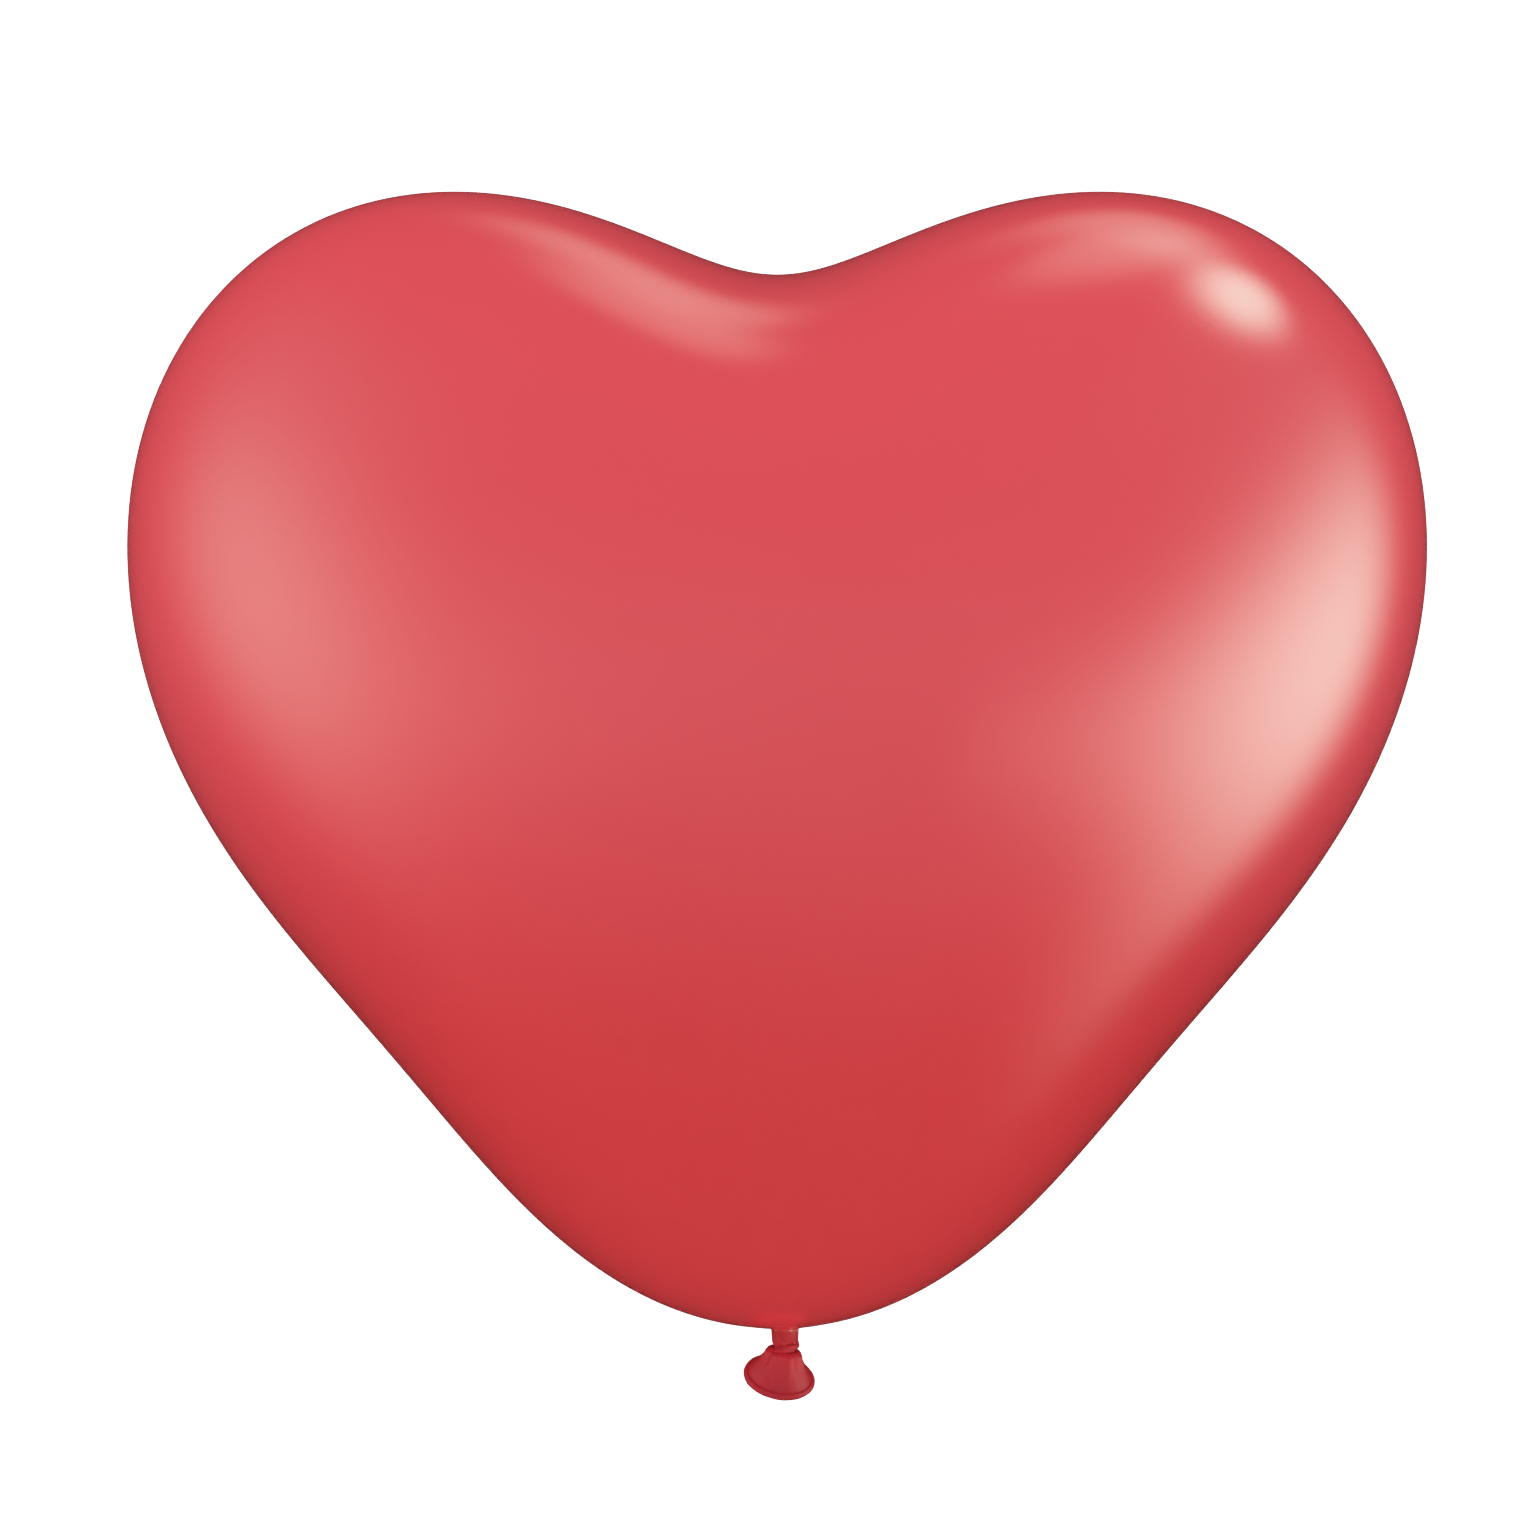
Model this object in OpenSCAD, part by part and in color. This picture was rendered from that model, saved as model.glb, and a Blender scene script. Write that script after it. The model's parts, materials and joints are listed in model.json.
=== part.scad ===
// Heart-shaped latex balloon, inflated and tied
//
// The balloon is one dip-moulded film. It is drawn here as the regions that look
// and behave differently once it is blown up and tied: the stretched heart-shaped
// skin, the thick collar under it, the overhand knot, the pleated tail below the
// knot and the rolled lip round the tail's mouth.
//
// Units are millimetres. +Z is up, the lobes spread along X, and the balloon is
// thinnest along Y, with its front on -Y. The origin is the waist between skin
// and knot, where a ribbon is tied. The knot rocks about the origin, and the
// tail rocks about the middle of the knot.

/* [Skin] */
// Width over both lobes
heart_w = 280; // [150:5:380]
// Thickness from front to back at the fullest place
heart_d = 168; // [90:2:240]
// How much fuller the edges are than a plain oval's
fullness = 0.15; // [0:0.01:0.3]
// Wall of the solid that stands for the film
skin_wall = 0.4; // [0.3:0.1:1]
// How far the neck sits off the middle of the heart
neck_offset = 1.7; // [0:0.1:6]
// Height of the lowest point of the skin over the ribbon's place
skin_lift = 1.6; // [1.5:0.1:2.5]

/* [Neck] */
// Diameter of the waist where a ribbon goes
neck_d = 5.2; // [5:0.1:6]
// Radius of the curve from the waist out to the skin
neck_fillet = 1; // [0.8:0.1:1.2]

/* [Knot] */
// Diameter of the whole knot
knot_d = 6.6; // [6.4:0.1:7.4]
// Thickness of the twisted film that makes the knot's turns
strand_d = 2.1; // [1.8:0.1:2.3]
// Distance from the ribbon's place down to the knot's middle
knot_drop = 2.9; // [2.8:0.1:3.2]
// How far the knot's turn climbs from its left side to its right
knot_slant = 18; // [0:1:24]

/* [Tail] */
// Diameter of the mouth, over the rolled lip
lip_d = 15.7; // [13:0.1:20]
// Thickness of the rolled lip
bead_d = 1.7; // [1.2:0.1:2]
// Length of the tail from the knot's middle to the mouth
tail_len = 6.9; // [5:0.1:10]
// Wall of the unstretched film
tail_wall = 0.4; // [0.3:0.1:0.5]
// Backward tilt of the tail where it leaves the knot
throat_tilt = 12; // [2:1:14]
// Backward tilt of the mouth
mouth_tilt = 30; // [16:1:40]
// Sideways lean of the tail
tail_lean = 11; // [0:1:20]
// Pleats gathered round the tail
pleat_count = 7; // [5:1:12]
// Depth of the pleats beside the knot
pleat_depth = 0.5; // [0:0.1:1.2]

/* [Hidden] */
$fn = 96;

red = [0.80, 0.13, 0.15];
dark_red = [0.62, 0.06, 0.09];

// Outline of the heart as sums of waves, drawn 280 mm wide. The angle runs from
// the cleft at 0 to the point at 180.
DRAWN_W = 280;
WAVE_X = [125.8, 6.6, -9.6, -8.6];
WAVE_Z = [135.9, 124.8, -12.3, -11.3, -10.2];
// The plain oval that the middle of the balloon swells towards.
OVAL_MIDDLE = 128;
OVAL_X = 120;
OVAL_Z = 100;

size_k = heart_w / DRAWN_W;
ROWS = 38;
COLS = 64;
gap = 0.15;
overlap = 0.05;

// ---- skin ----

function sum(v, i = 0) = i == len(v) ? 0 : v[i] + sum(v, i + 1);

// Outline at angle t, and how fast it runs sideways at the point.
function heart_x(t) = sum([for (i = [0:3]) WAVE_X[i] * sin((i + 1) * t)]);
function heart_z(t) = sum([for (i = [0:4]) WAVE_Z[i] * cos(i * t)]);
point_run = abs(sum([for (i = [0:3]) (i + 1) * WAVE_X[i] * cos((i + 1) * 180)]));
bottom_z = heart_z(180);

// Skin point in direction n of a unit ball. On the rim of the heart it lies on
// the outline, and towards front and back it flows into the oval.
function skin_at(n) =
    let (
        t = atan2(n[0], n[2]),
        c = sqrt(n[0] * n[0] + n[2] * n[2]),
        ox = OVAL_X * sin(t),
        oz = OVAL_Z * cos(t),
        x = c * ox + pow(c, 3) * (heart_x(t) - ox),
        z = OVAL_MIDDLE + c * oz + pow(c, 3) * (heart_z(t) - OVAL_MIDDLE - oz)
    )
    [
        size_k * x - neck_offset,
        heart_d / 2 * n[1] * (1 + fullness * c * c),
        size_k * (z - bottom_z) + skin_lift
    ];

// The grid's lower pole leans by this much, so that it lands on the neck.
pole_lean = neck_offset / (size_k * point_run) * 180 / PI;

// Direction at angle f up from the lower pole and angle a round it.
function ball(f, a) =
    let (x = sin(f) * cos(a), z = -cos(f))
    [
        x * cos(pole_lean) - z * sin(pole_lean),
        sin(f) * sin(a),
        x * sin(pole_lean) + z * cos(pole_lean)
    ];

// Angle at which the skin meets the collar, so that the hole is round.
collar_r = neck_d / 2 + neck_fillet;
point_depth = heart_d / 2 * (1 + fullness);
function first_row(a) =
    collar_r / norm([size_k * point_run * cos(a), point_depth * sin(a)]) * 180 / PI;

function row_angle(i, a) = first_row(a) + (180 - first_row(a)) * i / ROWS;
function skin_point(f, a) = skin_at(ball(f, a));

// Outward normal of the skin, from the slopes along and round the grid.
NUDGE = 0.05;
function skin_normal(f, a) =
    let (
        up = skin_point(f + NUDGE, a) - skin_point(f - NUDGE, a),
        along = skin_point(f, a + NUDGE) - skin_point(f, a - NUDGE),
        n = cross(along, up)
    )
    n / norm(n);

function ring(i, depth) = [
    for (j = [0:COLS - 1])
        let (a = 360 * j / COLS, f = row_angle(i, a))
        skin_point(f, a) - (depth > 0 ? depth * skin_normal(f, a) : [0, 0, 0])
];

module envelope() {
    outer = [for (i = [0:ROWS - 1]) each ring(i, 0)];
    inner = [for (i = [0:ROWS - 1]) each ring(i, skin_wall)];
    top = skin_point(180, 0);
    n = ROWS * COLS;
    points = concat(outer, inner, [top, top - [0, 0, skin_wall]]);
    faces = concat(
        [
            for (i = [0:ROWS - 2], j = [0:COLS - 1])
                let (k = (j + 1) % COLS, p = i * COLS)
                each [
                    [p + j, p + COLS + k, p + k],
                    [p + j, p + COLS + j, p + COLS + k],
                    [n + p + j, n + p + k, n + p + COLS + k],
                    [n + p + j, n + p + COLS + k, n + p + COLS + j]
                ]
        ],
        [
            for (j = [0:COLS - 1])
                let (k = (j + 1) % COLS, p = n - COLS)
                each [
                    [p + j, 2 * n, p + k],
                    [n + p + j, n + p + k, 2 * n + 1],
                    [j, k, n + k],
                    [j, n + k, n + j]
                ]
        ]
    );
    color(red) polyhedron(points, faces, convexity = 6);
}

// ---- neck ----

// The collar's round foot takes the top of the knot like a ball in a cup.
knuckle_r = 1.9;
cup_r = knuckle_r + gap;
cup_wall = 0.5;
cap_r = cup_r + cup_wall;
foot_z = 0.35;

module neck() {
    shoulder_z = skin_lift - neck_fillet;
    color(dark_red) difference() {
        union() {
            sphere(r = cap_r);
            rotate_extrude() difference() {
                translate([0, shoulder_z])
                    square([collar_r + overlap, neck_fillet + skin_wall]);
                translate([collar_r, shoulder_z]) circle(r = neck_fillet);
            }
            cylinder(r = neck_d / 2, h = skin_lift);
        }
        sphere(r = cup_r);
        translate([0, 0, foot_z - neck_d]) cylinder(r = neck_d, h = neck_d);
    }
}

// ---- knot ----

knot_r = knot_d / 2;
strand_r = strand_d / 2;
core_r = knuckle_r - 0.1;
// How far the middle of the knot reaches into the turn round it.
bite = 0.2;

module knot_core() {
    color(dark_red) union() {
        sphere(r = knuckle_r);
        translate([0, 0, -knot_drop]) cylinder(r = core_r, h = knot_drop);
        translate([0, 0, -knot_drop]) sphere(r = knot_r - strand_r + bite);
    }
}

// The turn is the visible part of the overhand knot. It comes out of the middle
// at the back, slants down across the front from right to left, and tucks in
// again at the back underneath its start. It is thinner at both ends.
TURNS = 1.2;
TURN_START = 120;
TURN_DROP = 2.5;
TUCK_SHARE = 2 / 7;
TUCK_IN = 0.6;
TUCK_THIN = 0.35;
SLANT_SHARE = 0.4;
TURN_STEPS = 54;
STRAND_SIDES = 16;
function ease(u) = u * u * (3 - 2 * u);

// How far the strand at share u of its length is out of its tuck, from 0 to 1.
function clear_of_tuck(u) = ease(min(1, min(u, 1 - u) / TUCK_SHARE));
function turn_radius(u) = strand_r * (TUCK_THIN + (1 - TUCK_THIN) * clear_of_tuck(u));

function turn_point(u) =
    let (
        a = TURN_START - 360 * TURNS * u,
        r = (knot_r - strand_r) * (TUCK_IN + (1 - TUCK_IN) * clear_of_tuck(u)),
        lift = (0.5 - u) * TURN_DROP + SLANT_SHARE * sin(knot_slant) * knot_r * cos(a),
        flat = sqrt(1 - pow(lift / knot_r, 2))
    )
    [r * flat * cos(a), r * flat * sin(a), lift - knot_drop];

module knot_loop() {
    step = 0.001;
    rings = [
        for (i = [0:TURN_STEPS])
            let (
                u = step + (1 - 2 * step) * i / TURN_STEPS,
                p = turn_point(u),
                run = turn_point(u + step) - turn_point(u - step),
                t = run / norm(run),
                side = cross(t, [0, 0, 1]) / norm(cross(t, [0, 0, 1])),
                up = cross(side, t)
            )
            each [
                for (j = [0:STRAND_SIDES - 1])
                    let (b = 360 * j / STRAND_SIDES)
                    p + turn_radius(u) * (cos(b) * side + sin(b) * up)
            ]
    ];
    last = TURN_STEPS * STRAND_SIDES;
    faces = concat(
        [
            for (i = [0:TURN_STEPS - 1], j = [0:STRAND_SIDES - 1])
                let (k = (j + 1) % STRAND_SIDES, p = i * STRAND_SIDES)
                each [
                    [p + j, p + k, p + STRAND_SIDES + k],
                    [p + j, p + STRAND_SIDES + k, p + STRAND_SIDES + j]
                ]
        ],
        [[for (j = [0:STRAND_SIDES - 1]) STRAND_SIDES - 1 - j]],
        [[for (j = [0:STRAND_SIDES - 1]) last + j]]
    );
    color(dark_red) polyhedron(rings, faces, convexity = 6);
}

// ---- tail ----

// The tail hangs from the middle of the knot and curls back along an arc.
curl = mouth_tilt - throat_tilt;
arc_r = tail_len / (curl * PI / 180);
throat_s = 1;
throat_r = knot_r + gap + tail_wall;
mouth_r = (lip_d - bead_d + tail_wall) / 2;
TAIL_ROWS = 9;
TAIL_COLS = 84;

function tilt_at(s) = throat_tilt + curl * s / tail_len;
function arc_at(s) =
    [0, arc_r * (cos(throat_tilt) - cos(tilt_at(s))), arc_r * (sin(throat_tilt) - sin(tilt_at(s)))];

// Skirt point at length s and angle a round it, with a = 0 at the front.
function skirt_point(s, a, depth) =
    let (
        u = (s - throat_s) / (tail_len - throat_s),
        pleat = pleat_depth * (1 - ease(u)) * (1 - cos(pleat_count * a)) / 2,
        r = throat_r + (mouth_r - throat_r) * ease(u) + pleat - depth,
        b = tilt_at(s)
    )
    arc_at(s) + [r * sin(a), -r * cos(a) * cos(b), -r * cos(a) * sin(b)];

module tail_place() {
    translate([0, 0, -knot_drop]) rotate([0, tail_lean, 0]) children();
}

module tail() {
    function level(i) = throat_s + (tail_len - throat_s) * i / TAIL_ROWS;
    function band(i, depth) =
        [for (j = [0:TAIL_COLS - 1]) skirt_point(level(i), 360 * j / TAIL_COLS, depth)];
    outer = [for (i = [0:TAIL_ROWS]) each band(i, 0)];
    inner = [for (i = [0:TAIL_ROWS]) each band(i, tail_wall)];
    n = (TAIL_ROWS + 1) * TAIL_COLS;
    mouth = TAIL_ROWS * TAIL_COLS;
    faces = concat(
        [
            for (i = [0:TAIL_ROWS - 1], j = [0:TAIL_COLS - 1])
                let (k = (j + 1) % TAIL_COLS, p = i * TAIL_COLS)
                each [
                    [p + j, p + k, p + TAIL_COLS + k],
                    [p + j, p + TAIL_COLS + k, p + TAIL_COLS + j],
                    [n + p + j, n + p + TAIL_COLS + k, n + p + k],
                    [n + p + j, n + p + TAIL_COLS + j, n + p + TAIL_COLS + k]
                ]
        ],
        [
            for (j = [0:TAIL_COLS - 1])
                let (k = (j + 1) % TAIL_COLS)
                each [
                    [j, n + k, k],
                    [j, n + j, n + k],
                    [mouth + j, mouth + k, mouth + n + k],
                    [mouth + j, mouth + n + k, mouth + n + j]
                ]
        ]
    );
    color(red) tail_place() polyhedron(concat(outer, inner), faces, convexity = 6);
}

module lip_bead() {
    color(dark_red) tail_place()
        translate(arc_at(tail_len))
        rotate([mouth_tilt, 0, 0])
        rotate_extrude()
        translate([mouth_r - tail_wall / 2, 0])
        circle(d = bead_d);
}

// ---- the balloon ----

envelope();
neck();
knot_core();
knot_loop();
tail();
lip_bead();
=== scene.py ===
import json
import math

import bmesh
import bpy
import numpy as np
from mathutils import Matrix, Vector


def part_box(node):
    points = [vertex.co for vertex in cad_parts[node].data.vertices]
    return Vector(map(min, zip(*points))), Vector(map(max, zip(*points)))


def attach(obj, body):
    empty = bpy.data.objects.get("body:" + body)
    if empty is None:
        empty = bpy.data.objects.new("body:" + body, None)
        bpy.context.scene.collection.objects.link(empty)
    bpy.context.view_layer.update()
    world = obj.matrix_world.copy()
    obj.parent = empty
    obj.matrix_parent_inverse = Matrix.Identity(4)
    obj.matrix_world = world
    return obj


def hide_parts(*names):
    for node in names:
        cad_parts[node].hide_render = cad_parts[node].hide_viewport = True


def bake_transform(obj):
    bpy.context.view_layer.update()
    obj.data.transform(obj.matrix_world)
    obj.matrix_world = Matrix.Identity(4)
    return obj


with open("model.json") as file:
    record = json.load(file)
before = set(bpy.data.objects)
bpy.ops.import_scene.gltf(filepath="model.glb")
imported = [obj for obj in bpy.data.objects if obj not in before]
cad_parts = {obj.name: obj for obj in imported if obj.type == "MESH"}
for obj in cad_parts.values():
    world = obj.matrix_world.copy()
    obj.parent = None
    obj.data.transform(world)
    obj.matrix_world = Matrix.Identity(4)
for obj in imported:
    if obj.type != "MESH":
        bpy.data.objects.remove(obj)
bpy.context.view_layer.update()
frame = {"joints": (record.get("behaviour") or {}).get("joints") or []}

MM = 0.001
TAU = 2 * math.pi

# ---------------------------------------------------------------- what the CAD says

env_lo, env_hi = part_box("envelope")
joints = {j["name"]: j for j in frame["joints"]}
knot_z = joints["tail_rock"]["pos_m"][2]

# Outline of the heart as sums of waves, drawn 280 mm wide, as in the CAD source.
WAVE_X = (125.8, 6.6, -9.6, -8.6)
WAVE_Z = (135.9, 124.8, -12.3, -11.3, -10.2)
OVAL_MIDDLE, OVAL_X, OVAL_Z = 128.0, 120.0, 100.0
FULLNESS = 0.15
DRAWN_W = 280.0
OUTLINE_STEPS = 721

size_k = (env_hi.x - env_lo.x) / (DRAWN_W * MM)
middle_x = (env_hi.x + env_lo.x) / 2
half_depth = (env_hi.y - env_lo.y) / 2


def heart_x(t):
    return sum(w * np.sin((i + 1) * t) for i, w in enumerate(WAVE_X))


def heart_z(t):
    return sum(w * np.cos(i * t) for i, w in enumerate(WAVE_Z))


def ease(u):
    u = np.clip(u, 0.0, 1.0)
    return u * u * (3 - 2 * u)


top_drawn = heart_z(np.linspace(0, math.pi, OUTLINE_STEPS)).max()
bottom_drawn = heart_z(math.pi)
skin_bottom = env_hi.z - size_k * (top_drawn - bottom_drawn) * MM
point_run = abs(sum((i + 1) * w * math.cos((i + 1) * math.pi) for i, w in enumerate(WAVE_X)))
point_depth = half_depth / MM * (1 + FULLNESS)
# The lower pole is turned to lie at the neck, which isn't quite under the middle.
pole_lean = -middle_x / (size_k * point_run * MM)


def skin_at(n):
    """Point of the skin, in metres, in direction n of a unit ball."""
    t = np.arctan2(n[..., 0], n[..., 2])
    c = np.hypot(n[..., 0], n[..., 2])
    ox, oz = OVAL_X * np.sin(t), OVAL_Z * np.cos(t)
    x = c * ox + c**3 * (heart_x(t) - ox)
    z = OVAL_MIDDLE + c * oz + c**3 * (heart_z(t) - OVAL_MIDDLE - oz)
    y = half_depth * n[..., 1] * (1 + FULLNESS * c * c)
    return np.stack([middle_x + size_k * x * MM, y, skin_bottom + size_k * (z - bottom_drawn) * MM], -1)


def ball(f, a):
    """Direction at angle f up from the lower pole and angle a round it."""
    x, z = np.sin(f) * np.cos(a), -np.cos(f)
    cl, sl = math.cos(pole_lean), math.sin(pole_lean)
    return np.stack([x * cl - z * sl, np.sin(f) * np.sin(a), x * sl + z * cl], -1)


# ---------------------------------------------------------------- mesh helpers


def ridges(waves, angle, along):
    """Sum of ridges round a tube. Each wave is its height, how many there are and how they twist."""
    return sum(height * np.cos(count * angle + twist * along) for height, count, twist in waves)


def grid_mesh(name, rows, closed_rows=False, cap_end=None):
    """A mesh from a grid of points, closed round its columns. cap_end is a last single point."""
    count, around = rows.shape[:2]
    verts = rows.reshape(-1, 3).tolist()
    faces = []
    last = count if closed_rows else count - 1
    for i in range(last):
        a, b = i * around, ((i + 1) % count) * around
        for j in range(around):
            k = (j + 1) % around
            faces.append((a + j, a + k, b + k, b + j))
    if cap_end is not None:
        verts.append(list(cap_end))
        tip, a = len(verts) - 1, (count - 1) * around
        faces += [(a + j, a + (j + 1) % around, tip) for j in range(around)]
    mesh = bpy.data.meshes.new(name)
    mesh.from_pydata(verts, [], faces)
    mesh.validate()
    bm = bmesh.new()
    bm.from_mesh(mesh)
    bmesh.ops.recalc_face_normals(bm, faces=bm.faces)
    bm.to_mesh(mesh)
    bm.free()
    for p in mesh.polygons:
        p.use_smooth = True
    obj = bpy.data.objects.new(name, mesh)
    bpy.context.scene.collection.objects.link(obj)
    return obj


# ---------------------------------------------------------------- materials

MOTTLE_SCALE = 14.0
GRAIN_SCALE = 900.0
GRAIN_BUMP, GRAIN_DEPTH = 0.05, 0.0002
ROUGHNESS_SPREAD = 0.03
# Where a colour mix node has its first colour, its second colour and its result.
MIX_A, MIX_B, MIX_OUT = 6, 7, 2


def noise(nt, coord, scale, detail):
    node = nt.nodes.new("ShaderNodeTexNoise")
    node.inputs["Scale"].default_value = scale
    node.inputs["Detail"].default_value = detail
    nt.links.new(coord.outputs["Object"], node.inputs["Vector"])
    return node.outputs["Fac"]


def map_range(nt, value, source=(0.0, 1.0), target=(0.0, 1.0), kind="LINEAR"):
    node = nt.nodes.new("ShaderNodeMapRange")
    node.interpolation_type = kind
    node.inputs["From Min"].default_value, node.inputs["From Max"].default_value = source
    node.inputs["To Min"].default_value, node.inputs["To Max"].default_value = target
    nt.links.new(value, node.inputs["Value"])
    return node.outputs["Result"]


def mix_colours(nt, kind="MIX"):
    node = nt.nodes.new("ShaderNodeMix")
    node.data_type = "RGBA"
    node.blend_type = kind
    node.inputs["Factor"].default_value = 1.0
    return node


def latex(name, pale, deep, heights, roughness, grain, wrinkle=0.0, scale=1.0, gloss=0.5, ior=1.5):
    """Rubber film: its colour runs from deep to pale between two heights, with a soft mottle."""
    mat = bpy.data.materials.new(name)
    mat.use_nodes = True
    nt = mat.node_tree
    bsdf = nt.nodes["Principled BSDF"]
    coord = nt.nodes.new("ShaderNodeTexCoord")
    split = nt.nodes.new("ShaderNodeSeparateXYZ")
    nt.links.new(coord.outputs["Object"], split.inputs[0])
    mottle = noise(nt, coord, MOTTLE_SCALE * scale, 3.0)

    ramp = mix_colours(nt)
    ramp.inputs[MIX_A].default_value = (*deep, 1)
    ramp.inputs[MIX_B].default_value = (*pale, 1)
    nt.links.new(map_range(nt, split.outputs["Z"], heights, kind="SMOOTHSTEP"), ramp.inputs["Factor"])
    tone = mix_colours(nt, "MULTIPLY")
    nt.links.new(ramp.outputs[MIX_OUT], tone.inputs[MIX_A])
    nt.links.new(map_range(nt, mottle, target=(1 - grain, 1 + grain)), tone.inputs[MIX_B])
    nt.links.new(tone.outputs[MIX_OUT], bsdf.inputs["Base Color"])

    rough = (roughness - ROUGHNESS_SPREAD, roughness + ROUGHNESS_SPREAD)
    nt.links.new(map_range(nt, mottle, target=rough), bsdf.inputs["Roughness"])
    bump = nt.nodes.new("ShaderNodeBump")
    bump.inputs["Strength"].default_value = GRAIN_BUMP + wrinkle
    bump.inputs["Distance"].default_value = GRAIN_DEPTH
    nt.links.new(noise(nt, coord, GRAIN_SCALE * scale, 2.0), bump.inputs["Height"])
    nt.links.new(bump.outputs["Normal"], bsdf.inputs["Normal"])
    bsdf.inputs["Specular IOR Level"].default_value = gloss
    bsdf.inputs["IOR"].default_value = ior
    return mat


# ---------------------------------------------------------------- the skin

COLLAR_R = 3.6
WAIST_R = 2.95
FILLET = COLLAR_R - WAIST_R
FILLET_ROWS = 14
SKIN_ROWS, SKIN_COLS = 210, 360
# Over 1, so that the rows crowd towards the neck.
ROW_CROWDING = 1.12
PUCKERS, PUCKER_START = 11, 0.7
PUCKER_DEPTH, PUCKER_REACH, PUCKER_TOP = 0.16, 7.5, 20.0
BROAD_FOLDS, FINE_FOLDS, FINE_START = (0.13, 6, 1.5), (0.06, 13, 2.3), 0.8


def pucker(angle):
    return np.cos(PUCKERS * angle + PUCKER_START)


def waist_folds(angle, z):
    """Height, in mm, of the twisted folds of the waist at height z in mm."""
    height, count, twist = FINE_FOLDS
    return ridges([BROAD_FOLDS], angle, z) + height * np.cos(count * angle + twist * z + FINE_START)


def build_skin():
    """The skin from the waist up, and the height in mm at which its fillet ends."""
    a = np.linspace(0, TAU, SKIN_COLS, endpoint=False)[None, :]
    first = COLLAR_R / np.hypot(size_k * point_run * np.cos(a), point_depth * np.sin(a))
    u = np.linspace(0, 1, SKIN_ROWS, endpoint=False)[:, None]
    skin = skin_at(ball(first + (math.pi - first) * u**ROW_CROWDING, a))
    r = np.hypot(skin[..., 0], skin[..., 1]) / MM
    near = np.clip(1 - (r - COLLAR_R) / PUCKER_REACH, 0, 1) * (skin[..., 2] < PUCKER_TOP * MM)
    collar_z = skin[0, :, 2].mean() / MM
    skin[..., 2] -= PUCKER_DEPTH * MM * pucker(np.arctan2(skin[..., 1], skin[..., 0])) * near**2
    # A fillet leads from the underside into the waist.
    turn = np.linspace(math.pi / 2, 0, FILLET_ROWS)[1:, None]
    ang = np.arctan2(skin[0, :, 1], skin[0, :, 0])[None, :]
    fillet_z = collar_z - FILLET * (1 - np.sin(turn)) - PUCKER_DEPTH * pucker(ang) * np.sin(turn)
    fillet_r = COLLAR_R - FILLET * np.cos(turn) + (1 - np.sin(turn)) * waist_folds(ang, fillet_z)
    fillet = np.stack([fillet_r * np.cos(ang), fillet_r * np.sin(ang), fillet_z], -1) * MM
    top = skin_at(ball(np.array(math.pi), np.array(0.0)))
    return grid_mesh("skin", np.concatenate([fillet[::-1], skin], 0), cap_end=top), collar_z - FILLET


skin, fillet_end = build_skin()
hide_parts("envelope", "neck")

# ---------------------------------------------------------------- waist film

WAIST_FOOT = -2.3
WAIST_ROWS, WAIST_COLS = 48, 160
# The film starts inside the skin's fillet, draws in at its middle and goes into the knot at its foot.
TUCK_UP, TUCK_GAP, TUCK_SLOPE = 0.5, 0.04, 0.3
WAIST_DRAWN_IN = 0.14
FOOT_HEIGHT, FOOT_DRAWN_IN = 1.2, 0.95


def build_waist():
    a = np.linspace(0, TAU, WAIST_COLS, endpoint=False)[None, :]
    z = np.linspace(fillet_end + TUCK_UP, WAIST_FOOT, WAIST_ROWS)[:, None]
    u = np.clip((fillet_end - z) / (fillet_end - WAIST_FOOT), 0, 1)
    tucked = TUCK_GAP + TUCK_SLOPE * np.clip(z - fillet_end, 0, 1)
    near_foot = np.clip((WAIST_FOOT + FOOT_HEIGHT - z) / FOOT_HEIGHT, 0, 1)
    gathered = FOOT_DRAWN_IN * (1 - np.sqrt(1 - near_foot**2))
    r = WAIST_R + waist_folds(a, z) - WAIST_DRAWN_IN * np.sin(math.pi * u) - tucked - gathered
    return grid_mesh("waist_film", np.stack([r * np.cos(a), r * np.sin(a), z + 0 * a], -1) * MM)


waist = build_waist()

# ---------------------------------------------------------------- knot

KNOT_R = 3.3
STRAND_R = 1.05
SLANT, SLANT_SHARE = math.radians(18), 0.4
TURNS, TURN_START, TURN_DROP = 1.2, math.radians(120), 2.5
# Over this share of its length each end of the turn sinks into the knot and gets thin.
TUCK_SHARE, TUCK_IN, TUCK_THIN = 2 / 7, 0.6, 0.35
TURN_STEPS, STRAND_SIDES = 170, 56
# Left off at both ends, so that the strand's direction can be taken from points to either side.
TURN_MARGIN, TURN_STRIDE = 0.001, 0.0009
STRAND_TWISTS = 5.5
STRAND_RIDGES = ((0.05, 4, 1.0), (0.028, 9, -1.6), (0.012, 17, 2.3))
STRAND_BASE, STRAND_HEIGHT = 0.97, 0.94
SWELLING, SWELLINGS = 0.03, 31
MIDDLE_R, MIDDLE_HALF_H, MIDDLE_UP = 2.42, 2.5, 0.25
MIDDLE_ROWS, MIDDLE_COLS = 60, 96
MIDDLE_RIDGES = ((0.05, 6, 2.2), (0.02, 13, -3.0))
POLE_GAP = 0.03


def clear_of_tuck(u):
    return float(ease(min(u, 1 - u) / TUCK_SHARE))


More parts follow.
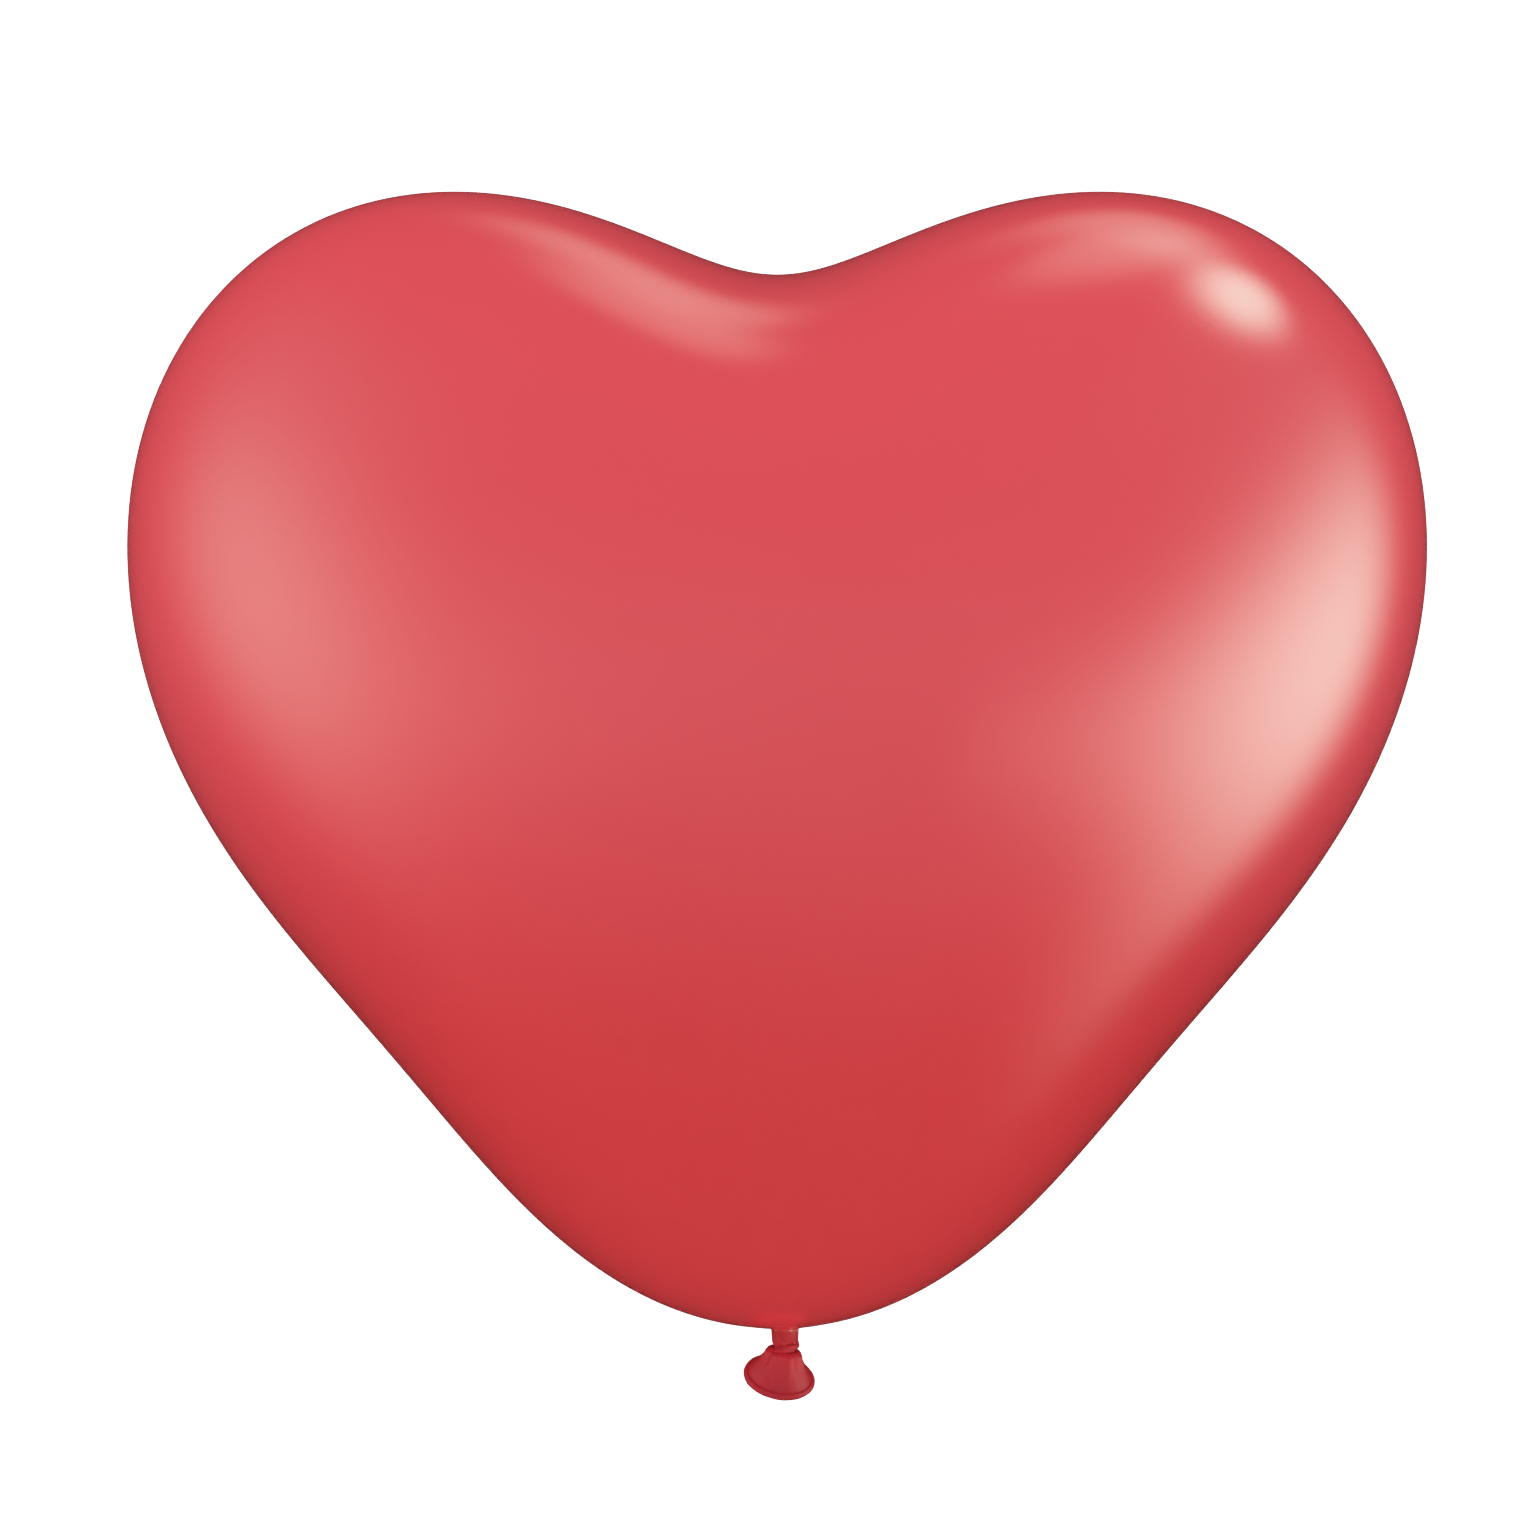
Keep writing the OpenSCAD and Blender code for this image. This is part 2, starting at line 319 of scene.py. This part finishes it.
def turn_point(u):
    """Point of the turn's centre line, in mm, at share u of its length."""
    a = TURN_START - TAU * TURNS * u
    r = (KNOT_R - STRAND_R) * (TUCK_IN + (1 - TUCK_IN) * clear_of_tuck(u))
    lift = (0.5 - u) * TURN_DROP + SLANT_SHARE * math.sin(SLANT) * KNOT_R * math.cos(a)
    r *= math.sqrt(1 - (lift / KNOT_R) ** 2)
    return np.array([r * math.cos(a), r * math.sin(a), lift + knot_z / MM])


def strand_ring(u):
    run = turn_point(u + TURN_STRIDE) - turn_point(u - TURN_STRIDE)
    along = run / np.linalg.norm(run)
    side = np.cross(along, (0, 0, 1))
    side /= np.linalg.norm(side)
    up = np.cross(side, along)
    b = np.linspace(0, TAU, STRAND_SIDES, endpoint=False)
    wave = STRAND_BASE + ridges(STRAND_RIDGES, b, STRAND_TWISTS * TAU * u)
    thickness = TUCK_THIN + (1 - TUCK_THIN) * clear_of_tuck(u)
    r = STRAND_R * thickness * wave * (1 + SWELLING * math.sin(SWELLINGS * u))
    across = (r * np.cos(b))[:, None] * side
    return turn_point(u) + across + (STRAND_HEIGHT * r * np.sin(b))[:, None] * up


def build_turn():
    shares = np.linspace(TURN_MARGIN, 1 - TURN_MARGIN, TURN_STEPS + 1)
    return grid_mesh("knot_turn", np.array([strand_ring(float(u)) for u in shares]) * MM)


turn = build_turn()
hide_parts("knot_loop")


def build_middle():
    a = np.linspace(0, TAU, MIDDLE_COLS, endpoint=False)[None, :]
    f = np.linspace(POLE_GAP, math.pi - POLE_GAP, MIDDLE_ROWS)[:, None]
    r = MIDDLE_R * (1 + ridges(MIDDLE_RIDGES, a, f)) * np.sin(f)
    z = MIDDLE_HALF_H * np.cos(f) + 0 * a + knot_z / MM + MIDDLE_UP
    tip = (0, 0, knot_z + (MIDDLE_UP - MIDDLE_HALF_H) * MM)
    return grid_mesh("knot_middle", np.stack([r * np.cos(a), r * np.sin(a), z], -1) * MM, cap_end=tip)


middle = build_middle()
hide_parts("knot_core")

# ---------------------------------------------------------------- tail

TAIL_LEN = 6.9
THROAT_TILT, MOUTH_TILT, TAIL_LEAN = (math.radians(v) for v in (12, 30, 11))
THROAT_S, THROAT_R = 1.0, 3.85
LIP_D, BEAD_D, TAIL_WALL = 15.7, 1.7, 0.4
PLEATS, PLEAT_DEPTH, PLEAT_SHAPE, PLEAT_DRIFT = 7, 0.45, 0.8, 0.35
BROAD_WAVE, FINE_WAVE = (0.10, 3, 1.0), (0.05, 19)
# How much of the flare is eased at both ends; the rest is straight.
FLARE_EASED = 0.6
MOUTH_R = (LIP_D - BEAD_D + TAIL_WALL) / 2
# The gathered top of the skirt, which comes out from under the knot's turn.
HOOD_S, HOOD_PINCH, HOOD_PLEATS = 0.0, 1.1, 0.45
SKIRT_COLS, HOOD_ROWS, SKIRT_ROWS = 252, 16, 40
LIP_COLS, LIP_SIDES = 260, 40
LIP_WAVE, LIP_RIPPLE = (0.025, 5, 0.4), (0.018, 11, 0.0)
# The rolled lip's last turn leaves a shallow groove: its depth, place and width.
GROOVE_DEPTH, GROOVE_AT, GROOVE_WIDTH = 0.09, 2.5, 0.16
curl = MOUTH_TILT - THROAT_TILT
arc_r = TAIL_LEN / curl


def tilt_at(s):
    return THROAT_TILT + curl * s / TAIL_LEN


def arc_at(s):
    """Point of the tail's curved middle line, in mm, at distance s from its start."""
    b, b0 = tilt_at(s), THROAT_TILT
    return np.array([0.0, arc_r * (math.cos(b0) - math.cos(b)), arc_r * (math.sin(b0) - math.sin(b))])


def lean(p):
    """From the tail's own frame to the row frame, in metres."""
    c, s = math.cos(TAIL_LEAN), math.sin(TAIL_LEAN)
    p = np.asarray(p, float)
    x, y, z = p[..., 0], p[..., 1], p[..., 2]
    return np.stack([x * c + z * s, y, z * c - x * s + knot_z / MM], -1) * MM


def outward(s, a):
    """Direction away from the middle line at angle a round it."""
    b = tilt_at(s)
    return np.stack([np.sin(a), -np.cos(a) * math.cos(b), -np.cos(a) * math.sin(b)], -1)


def skirt_ring(s, r, a):
    return arc_at(s) + r[:, None] * outward(s, a)


def skirt_radius(s, a):
    u = (s - THROAT_S) / (TAIL_LEN - THROAT_S)
    flare = FLARE_EASED * float(ease(u)) + (1 - FLARE_EASED) * max(u, 0)
    spread = 1 - min(max(THROAT_S - s, 0) / (THROAT_S - HOOD_S), 1) ** 2
    pleats = PLEAT_DEPTH * ((1 - np.cos(PLEATS * a + PLEAT_DRIFT * np.sin(2 * a))) / 2) ** PLEAT_SHAPE
    height, count, start = BROAD_WAVE
    folds = pleats + height * np.sin(count * a + start) + FINE_WAVE[0] * np.cos(FINE_WAVE[1] * a)
    base = THROAT_R + (MOUTH_R - THROAT_R) * flare - HOOD_PINCH * (1 - spread)
    return base + (1 - flare) * (HOOD_PLEATS + (1 - HOOD_PLEATS) * spread) * folds


def build_skirt():
    a = np.linspace(0, TAU, SKIRT_COLS, endpoint=False)
    hood = np.linspace(HOOD_S, THROAT_S, HOOD_ROWS, endpoint=False)
    levels = np.concatenate([hood, np.linspace(THROAT_S, TAIL_LEN, SKIRT_ROWS)])
    outer = [skirt_ring(s, skirt_radius(s, a), a) for s in levels]
    inner = [skirt_ring(s, skirt_radius(s, a) - TAIL_WALL, a) for s in levels[::-1]]
    return grid_mesh("tail_skirt", lean(np.array(outer + inner)), closed_rows=True)


skirt = build_skirt()
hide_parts("tail")


def lip_wave(a):
    return sum(height * math.sin(count * a + start) for height, count, start in (LIP_WAVE, LIP_RIPPLE))


def build_lip():
    b = tilt_at(TAIL_LEN)
    down = np.array([0.0, math.sin(b), -math.cos(b)])
    q = np.linspace(0, TAU, LIP_SIDES, endpoint=False)
    groove = 1 - GROOVE_DEPTH * np.exp(-(((q - GROOVE_AT) / GROOVE_WIDTH) ** 2))
    rows = []
    for a in np.linspace(0, TAU, LIP_COLS, endpoint=False):
        out = outward(TAIL_LEN, a)
        middle_line = arc_at(TAIL_LEN) + out * (MOUTH_R - TAIL_WALL / 2)
        r = BEAD_D / 2 * (1 + lip_wave(a)) * groove
        rows.append(middle_line + (r * np.cos(q))[:, None] * out + (r * np.sin(q))[:, None] * down)
    return grid_mesh("lip_roll", lean(np.array(rows)), closed_rows=True)


lip = build_lip()
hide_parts("lip_bead")

# ---------------------------------------------------------------- colours

SKIN_PALE = (0.85, 0.080, 0.101)
SKIN_DEEP = (0.81, 0.045, 0.051)
KNOT_PALE = (0.60, 0.030, 0.036)
KNOT_DEEP = (0.48, 0.022, 0.034)
TAIL_PALE = (0.58, 0.026, 0.040)
TAIL_DEEP = (0.42, 0.018, 0.030)
# Heights in metres between which each colour runs from deep to pale.
SKIN_HEIGHTS, KNOT_HEIGHTS, TAIL_HEIGHTS = (0.045, 0.15), (-0.006, 0.002), (-0.014, -0.003)
RELAXED = {"roughness": 0.36, "scale": 4, "gloss": 0.22}


def paint(material, *pieces):
    for piece in pieces:
        piece.data.materials.append(material)


paint(latex("latex_skin", SKIN_PALE, SKIN_DEEP, SKIN_HEIGHTS, 0.16, grain=0.02, gloss=1.0, ior=1.8), skin)
knot_latex = latex("latex_knot", KNOT_PALE, KNOT_DEEP, KNOT_HEIGHTS, grain=0.12, wrinkle=0.10, **RELAXED)
paint(knot_latex, waist, turn, middle)
tail_latex = latex("latex_tail", TAIL_PALE, TAIL_DEEP, TAIL_HEIGHTS, grain=0.10, wrinkle=0.08, **RELAXED)
paint(tail_latex, skirt, lip)

# ---------------------------------------------------------------- bodies

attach(skin, "balloon")
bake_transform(waist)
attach(turn, "knot")
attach(middle, "knot")
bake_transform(skirt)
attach(lip, "tail")

# ---------------------------------------------------------------- camera

CAMERA_DISTANCE = 1.3
CAMERA_X, CAMERA_Z = -0.0044, 0.1239
FRAME_WIDTH = 0.3298
SENSOR = 36.0
CLIP = (0.05, 50)

scene = bpy.context.scene
cam_data = bpy.data.cameras.new("camera")
cam_data.sensor_width = SENSOR
cam_data.lens = SENSOR * CAMERA_DISTANCE / FRAME_WIDTH
cam_data.clip_start, cam_data.clip_end = CLIP
cam = bpy.data.objects.new("camera", cam_data)
cam.location = (CAMERA_X, -CAMERA_DISTANCE, CAMERA_Z)
cam.rotation_euler = (math.pi / 2, 0, 0)
scene.collection.objects.link(cam)
scene.camera = cam

# ---------------------------------------------------------------- light

HEART = Vector((middle_x, 0, 0.124))
GLOW_DISTANCE = 3.0
GLOW_SCALE = 0.30
GLOW_COLOUR = (1.0, 1.0, 0.84)
# A glow's panel reaches this many times as far as its half-bright angle, and never past the widest one.
GLOW_REACH, GLOW_WIDEST = 2.4, 70
FILL_DISTANCE = 2.5


def direction(az, el):
    """Direction at azimuth az (0 is the front, 90 is +X) and elevation el, in degrees."""
    a, e = math.radians(az), math.radians(el)
    return Vector((math.sin(a) * math.cos(e), -math.cos(a) * math.cos(e), math.sin(e)))


def place_light(name, az, el, distance, width, height):
    """A rectangular light that faces the balloon."""
    data = bpy.data.lights.new(name, "AREA")
    data.shape = "RECTANGLE"
    data.size, data.size_y = width, height
    obj = bpy.data.objects.new(name, data)
    scene.collection.objects.link(obj)
    back = direction(az, el)
    obj.location = HEART + back * distance
    obj.rotation_mode = "QUATERNION"
    obj.rotation_quaternion = back.to_track_quat("Z", "Y")
    obj.visible_camera = False
    return obj


def maths(nt, kind, x, y=None):
    node = nt.nodes.new("ShaderNodeMath")
    node.operation = kind
    for socket, value in zip(node.inputs, (x, y)):
        if isinstance(value, (int, float)):
            socket.default_value = value
        elif value is not None:
            nt.links.new(value, socket)
    return node.outputs[0]


def squared_share(nt, place, half, low, high):
    """Square of the angle off the panel's middle, over its half-bright angle on that side."""
    angle = maths(nt, "ARCTANGENT", maths(nt, "MULTIPLY", maths(nt, "SUBTRACT", place, 0.5), 2 * half))
    below = maths(nt, "MULTIPLY", maths(nt, "MINIMUM", angle, 0.0), 1 / math.radians(low))
    above = maths(nt, "MULTIPLY", maths(nt, "MAXIMUM", angle, 0.0), 1 / math.radians(high))
    share = maths(nt, "ADD", below, above)
    return maths(nt, "MULTIPLY", share, share)


def glow(name, az, el, radiance, left, right, down, up, edge=1.0):
    """A big soft light that is seen only in the gloss. left, right, down and up are the angles in
    degrees from its middle to where it is half as bright. An edge over 1 makes its rim crisper."""
    spread = [math.tan(math.radians(min(GLOW_REACH * v, GLOW_WIDEST))) for v in (left, right, down, up)]
    half_w, half_h = max(spread[:2]), max(spread[2:])
    obj = place_light(name, az, el, GLOW_DISTANCE, 2 * half_w * GLOW_DISTANCE, 2 * half_h * GLOW_DISTANCE)
    obj.visible_diffuse = False
    data = obj.data
    data.color = GLOW_COLOUR
    data.energy = GLOW_SCALE * radiance * math.pi * data.size * data.size_y
    data.use_nodes = True
    nt = data.node_tree
    place = nt.nodes.new("ShaderNodeNewGeometry")
    split = nt.nodes.new("ShaderNodeSeparateXYZ")
    nt.links.new(place.outputs["Parametric"], split.inputs[0])
    across = squared_share(nt, split.outputs["X"], half_w, left, right)
    total = maths(nt, "ADD", across, squared_share(nt, split.outputs["Y"], half_h, down, up))
    fading = maths(nt, "POWER", 0.5, maths(nt, "POWER", total, edge))
    nt.links.new(fading, nt.nodes["Emission"].inputs["Strength"])


def fill_light(name, az, el, power, side=2.0):
    """A big square light that shades the balloon and doesn't show in its gloss."""
    obj = place_light(name, az, el, FILL_DISTANCE, side, side)
    obj.visible_glossy = False
    obj.data.energy = power


glow("glow_right", 91, -5, 9.2, 36, 17, 22, 20, edge=1.15)
glow("glow_left", -74, 4, 2.8, 22, 26, 20, 20)
glow("glow_upper_right", 98, 53, 11.0, 9, 10, 7, 8, edge=1.5)
glow("glow_high", 124, 64, 2.7, 7, 8, 6, 6)
glow("glow_top", 153, 61, 2.5, 13, 13, 9, 9, edge=1.4)
glow("glow_zenith", 128, 76, 2.0, 10, 10, 10, 9, edge=1.8)
fill_light("fill_low", 0, -14, 40, side=4.0)
fill_light("fill_left", -75, 33, 22)
fill_light("fill_right", 75, 33, 18)
fill_light("fill_far_left", -100, 25, 13)
fill_light("fill_far_right", 100, 25, 16)

# ---------------------------------------------------------------- room

# How bright the room is to the camera, in the gloss, and as light on the balloon.
ROOM_SEEN, ROOM_IN_GLOSS, ROOM_LIGHT = 2.2, 0.02, 0.38
# The room's light is a little stronger from in front and from above.
ROOM_SLOPE = (0.0, -0.10, 0.15)


def build_room():
    world = bpy.data.worlds.new("studio")
    scene.world = world
    world.use_nodes = True
    nt = world.node_tree
    nt.nodes.clear()

    def background(strength=0.0):
        node = nt.nodes.new("ShaderNodeBackground")
        node.inputs["Color"].default_value = (1, 1, 1, 1)
        node.inputs["Strength"].default_value = strength
        return node

    def choose(ray, otherwise, chosen):
        node = nt.nodes.new("ShaderNodeMixShader")
        nt.links.new(path.outputs[ray], node.inputs["Fac"])
        nt.links.new(otherwise.outputs[0], node.inputs[1])
        nt.links.new(chosen.outputs[0], node.inputs[2])
        return node

    path = nt.nodes.new("ShaderNodeLightPath")
    coord = nt.nodes.new("ShaderNodeTexCoord")
    slope = nt.nodes.new("ShaderNodeVectorMath")
    slope.operation = "DOT_PRODUCT"
    slope.inputs[1].default_value = ROOM_SLOPE
    nt.links.new(coord.outputs["Generated"], slope.inputs[0])
    light = background()
    nt.links.new(maths(nt, "ADD", slope.outputs["Value"], ROOM_LIGHT), light.inputs["Strength"])
    unseen = choose("Is Glossy Ray", light, background(ROOM_IN_GLOSS))
    room = choose("Is Camera Ray", unseen, background(ROOM_SEEN))
    out = nt.nodes.new("ShaderNodeOutputWorld")
    nt.links.new(room.outputs[0], out.inputs["Surface"])


build_room()

# ---------------------------------------------------------------- floor

FLOOR_R, FLOOR_Z, FLOOR_SIDES = 1.1, -0.32, 128
# The floor fades into the room between these distances from its middle.
FLOOR_FADE = (0.35, 1.05)
FLOOR_COLOUR, FLOOR_ROUGHNESS = (0.86, 0.86, 0.86, 1), 0.8


def build_floor():
    bm = bmesh.new()
    bmesh.ops.create_circle(bm, cap_ends=True, segments=FLOOR_SIDES, radius=FLOOR_R)
    mesh = bpy.data.meshes.new("floor")
    bm.to_mesh(mesh)
    bm.free()
    obj = bpy.data.objects.new("floor", mesh)
    scene.collection.objects.link(obj)
    obj.location = (0, 0, FLOOR_Z)
    mat = bpy.data.materials.new("floor_pale")
    mat.use_nodes = True
    nt = mat.node_tree
    bsdf = nt.nodes["Principled BSDF"]
    bsdf.inputs["Base Color"].default_value = FLOOR_COLOUR
    bsdf.inputs["Roughness"].default_value = FLOOR_ROUGHNESS
    clear = nt.nodes.new("ShaderNodeBsdfTransparent")
    mix = nt.nodes.new("ShaderNodeMixShader")
    coord = nt.nodes.new("ShaderNodeTexCoord")
    length = nt.nodes.new("ShaderNodeVectorMath")
    length.operation = "LENGTH"
    nt.links.new(coord.outputs["Object"], length.inputs[0])
    fade = map_range(nt, length.outputs["Value"], FLOOR_FADE, kind="SMOOTHSTEP")
    nt.links.new(fade, mix.inputs["Fac"])
    nt.links.new(bsdf.outputs[0], mix.inputs[1])
    nt.links.new(clear.outputs[0], mix.inputs[2])
    nt.links.new(mix.outputs[0], nt.nodes["Material Output"].inputs["Surface"])
    mesh.materials.append(mat)
    obj.visible_glossy = False


build_floor()

# ---------------------------------------------------------------- tones

# A camera's soft shoulder: light over mid brightness is held back, and white comes at twice the usual level.
WHITE_LEVEL = 2.0
SHOULDER = ((0.3, 0.6), (0.375, 0.735), (0.46, 0.82), (0.575, 0.9), (0.75, 0.965))
# Of the four curves the last one acts on red, green and blue together.
ALL_COLOURS = 3

scene.view_settings.view_transform = "Standard"
scene.view_settings.look = "None"
scene.view_settings.use_curve_mapping = True
tones = scene.view_settings.curve_mapping
tones.white_level = (WHITE_LEVEL, WHITE_LEVEL, WHITE_LEVEL)
shoulder = tones.curves[ALL_COLOURS]
shoulder.points[1].location = (1.0, 1.0)
for light, shown in SHOULDER:
    shoulder.points.new(light, shown)
tones.update()
